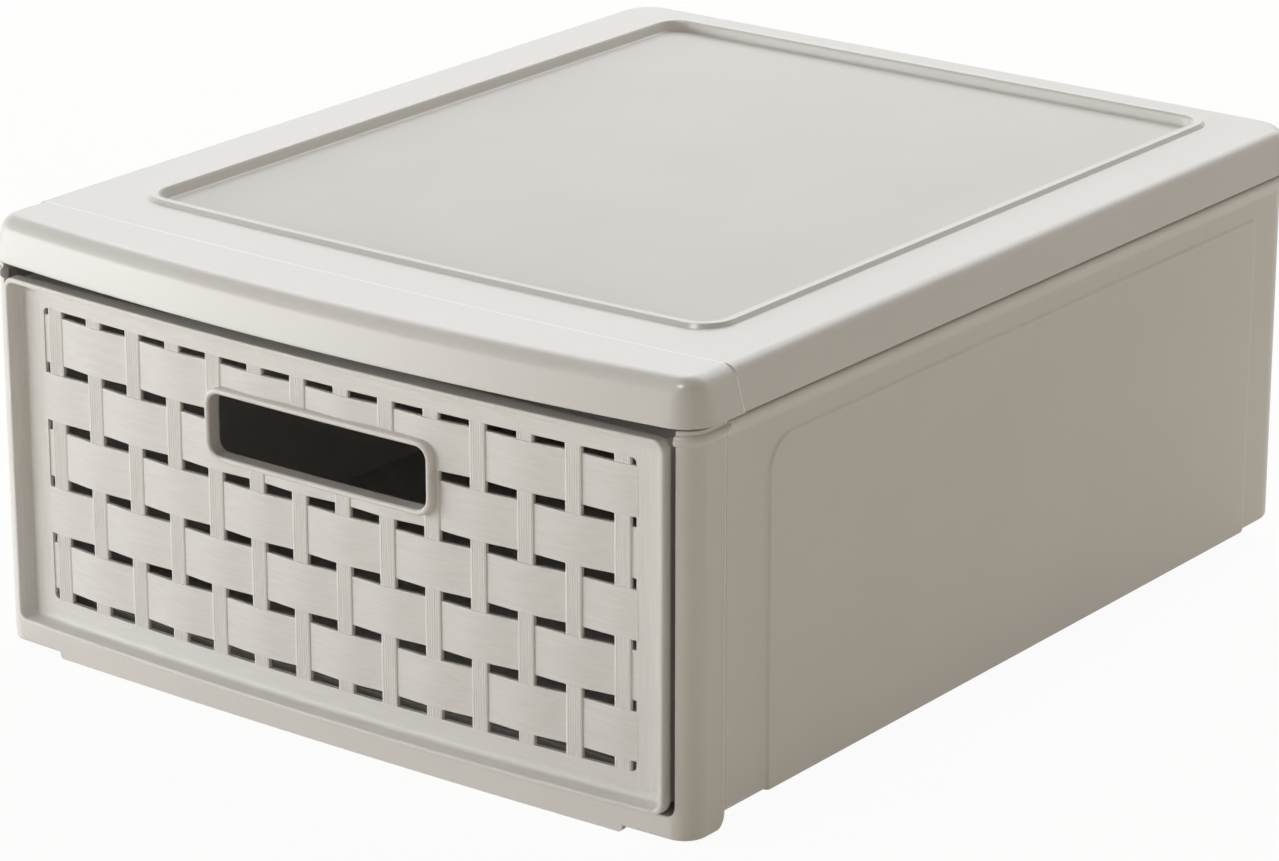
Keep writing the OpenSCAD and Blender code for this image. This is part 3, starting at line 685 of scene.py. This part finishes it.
def strip(at):
    """An upright strip with six fine ridges on its face."""
    piece = block("strip", (at - STRIP_W / 2, plate + RIDGE_H, WINDOW_Z - 0.6),
                  (at + STRIP_W / 2, FACE_Y + FACE_T / 2 - 0.02, WINDOW_TOP + 0.6))
    round_edges(lambda m, d: m.y < FACE_Y and abs(d.z) > 20, 0.3, 2)
    divide_edges(lambda m, d: abs(d.x) > 5 and m.y < FACE_Y, 11)
    step = (STRIP_W - 0.6) / 12
    move(lambda c: (c.x, c.y - (RIDGE_H if c.y < plate + RIDGE_H + 0.01 and
                                round((c.x - at + STRIP_W / 2 - 0.3) / step) % 2 else 0), c.z))
    move(lambda c: (c.x, c.y + face_curve(at), c.z))
    leave_edit()
    return piece


def band(row):
    """A level band, wavy along its length, with rounded edges."""
    top = WEAVE_TOP - SLIT / 2 - row * ROW
    piece = block("band", (-WINDOW_HALF - 0.8, FACE_Y - FACE_T / 2, top - ROW + SLIT),
                  (WINDOW_HALF + 0.8, FACE_Y + FACE_T / 2, top))
    round_edges(lambda m, d: m.y < FACE_Y and abs(d.x) > 100, 0.4, 3)
    divide_edges(lambda m, d: abs(d.x) > 100, 15 * 10 - 1)
    half = (STRIPS - 1) / 2 * PITCH

    def forward(x):
        ahead = -cos(pi * (x + half) / PITCH) * (1 if row % 2 == 0 else -1)
        end = (abs(x) - half) / (WINDOW_HALF - half)
        # A band that passes ahead of the outer strip comes down to the surround beside it
        return SWING * (cos(radians(70) * min(end, 1)) if end > 0 and ahead > 0 else ahead)

    move(lambda c: (c.x, c.y - forward(c.x) + face_curve(c.x), c.z))
    leave_edit()
    return piece


# The mould for the front was brushed along the bands and up the strips: streaks about a
# millimetre apart, faint in tone and gloss
along = moulded("polypropylene_brushed_across", "#E3E2DF", "#DCDBD8", 0.42, 1.1, 0.05,
                (0.06, 1, 1), 0.8)
up = moulded("polypropylene_brushed_upright", "#E3E2DF", "#DCDBD8", 0.42, 1.1, 0.04,
             (1, 1, 0.06), 0.8)
weave.data.materials.append(along)
weave.data.materials.append(up)
for f in weave.data.polygons:
    f.material_index = 1 if abs(f.center.x) / MM > WINDOW_HALF else 0
strips = [strip((i - (STRIPS - 1) / 2) * PITCH) for i in range(STRIPS)]
bands = [band(j) for j in range(BANDS)]
for material, made in ((up, strips), (along, bands)):
    for part in made:
        part.data.materials.append(material)
parts = strips + bands

# The hand hole goes right through the weave
HOLE_HALF = 50.2
HOLE_Z = 100.9
HOLE_TOP = 124.1
HOLE_R = 4.5
GRIP_WALL = 2.4


def hole_block(name, grown, y0, y1):
    piece = block(name, (-HOLE_HALF - grown, y0, HOLE_Z - grown),
                  (HOLE_HALF + grown, y1, HOLE_TOP + grown))
    round_edges(lambda m, d: abs(d.y) > 0.1, HOLE_R + grown, 8)
    return piece


hole = hole_block("hole", GRIP_WALL - 0.3, -250, -150)
leave_edit()
for part in parts:
    low, high = (min(v.co.x for v in part.data.vertices), max(v.co.x for v in part.data.vertices))
    if high > -0.051 and low < 0.051:
        apply(part, "BOOLEAN", operation="DIFFERENCE", object=hole, solver="EXACT")
bpy.data.objects.remove(hole)
bpy.ops.object.select_all(action="DESELECT")
for part in parts + [weave]:
    part.select_set(True)
bpy.context.view_layer.objects.active = weave
bpy.ops.object.join()

finish_piece(weave, "drawer", ["drawer_front"])


# ---- Hand hole frame ----
# A smooth collar of the same plastic that lines the hand hole. It sits in the woven front, and its
# rounded bead lies over the weave.
GRIP_AHEAD = 4.0
GRIP_BACK = 1.8
BEAD = 1.1

grip = hole_block("grip", GRIP_WALL, FACE_Y - GRIP_AHEAD + BEAD, FACE_Y + GRIP_BACK)
pick("FACE", lambda m, n: n.y < -0.9)
steps(rounding(BEAD, 0, 90, 5) + [(0.1, 0)] + turn_in(BEAD, 5)
      + [(0.1, -(GRIP_AHEAD + GRIP_BACK - BEAD))])
bpy.ops.mesh.delete(type="ONLY_FACE")
pick("FACE", lambda m, n: n.y > 0.9)
steps([(GRIP_WALL, 0)])
bpy.ops.mesh.delete(type="ONLY_FACE")
pick("VERT", lambda c, n: True)
bpy.ops.mesh.remove_doubles(threshold=0.02 * MM)
divide_edges(lambda m, d: abs(d.x) > 60, 14)
face_outwards()
move(lambda c: (c.x, c.y + face_curve(c.x), c.z))
leave_edit()
# The bead is polished in the mould, so it is the glossiest part of the front
glossy = moulded("polypropylene_polished", "#DDDBD7", "#DBD9D5", 0.3, 0.6, 0.004)
grip.data.materials.append(glossy)
finish_piece(grip, "drawer", ["grip_frame"])


# ---- Floor, background and lamps ----
# A white paper floor. A wide low lamp stands in front at the left, a larger one hangs above and
# behind, and the walls of the room give a warm fill, strongest low down, that reaches the right.
bpy.ops.object.select_all(action="DESELECT")
bpy.ops.mesh.primitive_plane_add(size=12, location=(0, 0, -0.0002))
floor = bpy.context.object
floor.name = "floor"
paper = bpy.data.materials.new("white_paper")
paper.use_nodes = True
tree = paper.node_tree
tree.nodes.clear()


def background_ray(tree):
    """1 for a ray that should meet a white background: from the camera, off a gloss, or through
    something clear."""
    ray = add(tree, "ShaderNodeLightPath")
    either = add(tree, "ShaderNodeMath", {0: (ray, "Is Camera Ray"), 1: (ray, "Is Glossy Ray")},
                 operation="MAXIMUM")
    return add(tree, "ShaderNodeMath", {0: (either, "Value"), 1: (ray, "Is Transmission Ray")},
               operation="MAXIMUM")


matt = add(tree, "ShaderNodeBsdfDiffuse", {"Color": colour("#ECE4D7")})
glow = add(tree, "ShaderNodeEmission", {"Color": (1, 1, 1, 1), "Strength": 1.0})
# The floor is all but white to those rays, and keeps a trace of the shadow
seen = add(tree, "ShaderNodeMath", {0: (background_ray(tree), "Value"), 1: 0.95},
           operation="MULTIPLY")
mixed = add(tree, "ShaderNodeMixShader", {0: (seen, "Value"), 1: (matt, "BSDF"),
                                          2: (glow, "Emission")})
add(tree, "ShaderNodeOutputMaterial", {"Surface": (mixed, "Shader")})
floor.data.materials.append(paper)

world = bpy.data.worlds.new("studio")
bpy.context.scene.world = world
world.use_nodes = True
tree = world.node_tree
tree.nodes.clear()
white = add(tree, "ShaderNodeBackground", {"Color": (1, 1, 1, 1), "Strength": 1.0})
# The fill is strongest low down, as in a room with pale walls and a dark ceiling
place = add(tree, "ShaderNodeTexCoord")
axes = add(tree, "ShaderNodeSeparateXYZ", {"Vector": (place, "Generated")})
fill = add(tree, "ShaderNodeMapRange", {"Value": (axes, "Z"), "From Min": 0.0, "From Max": 0.7,
                                        "To Min": 0.57, "To Max": 0.19})
warm = add(tree, "ShaderNodeBackground", {"Color": (1, 0.91, 0.79, 1),
                                          "Strength": (fill, "Result")})
mixed = add(tree, "ShaderNodeMixShader", {0: (background_ray(tree), "Value"),
                                          1: (warm, "Background"), 2: (white, "Background")})
add(tree, "ShaderNodeOutputWorld", {"Surface": (mixed, "Shader")})


def lamp(name, place, size, power, tint):
    """A soft lamp of the given width and height that faces the box."""
    light = bpy.data.lights.new(name, "AREA")
    light.shape = "RECTANGLE"
    light.size, light.size_y = size
    light.energy = power
    light.color = tint
    stand = bpy.data.objects.new(name, light)
    stand.location = place
    stand.rotation_euler = (Vector((0, -0.05, 0.08)) - Vector(place)).to_track_quat(
        "-Z", "Y").to_euler()
    bpy.context.scene.collection.objects.link(stand)
    return stand


DAYLIGHT = (0.94, 0.97, 1)
lamp("left", (-1.85, -1.48, 0.34), (2.2, 0.6), 40, DAYLIGHT)
lamp("back", (-0.75, 1.75, 1.95), (3.2, 2.2), 66, DAYLIGHT)
# A small lamp that only shows as a glint on the round edges
glint = lamp("glint", (0.15, -1.2, 1.78), (0.08, 0.08), 28, (1, 1, 1))
glint.visible_diffuse = False
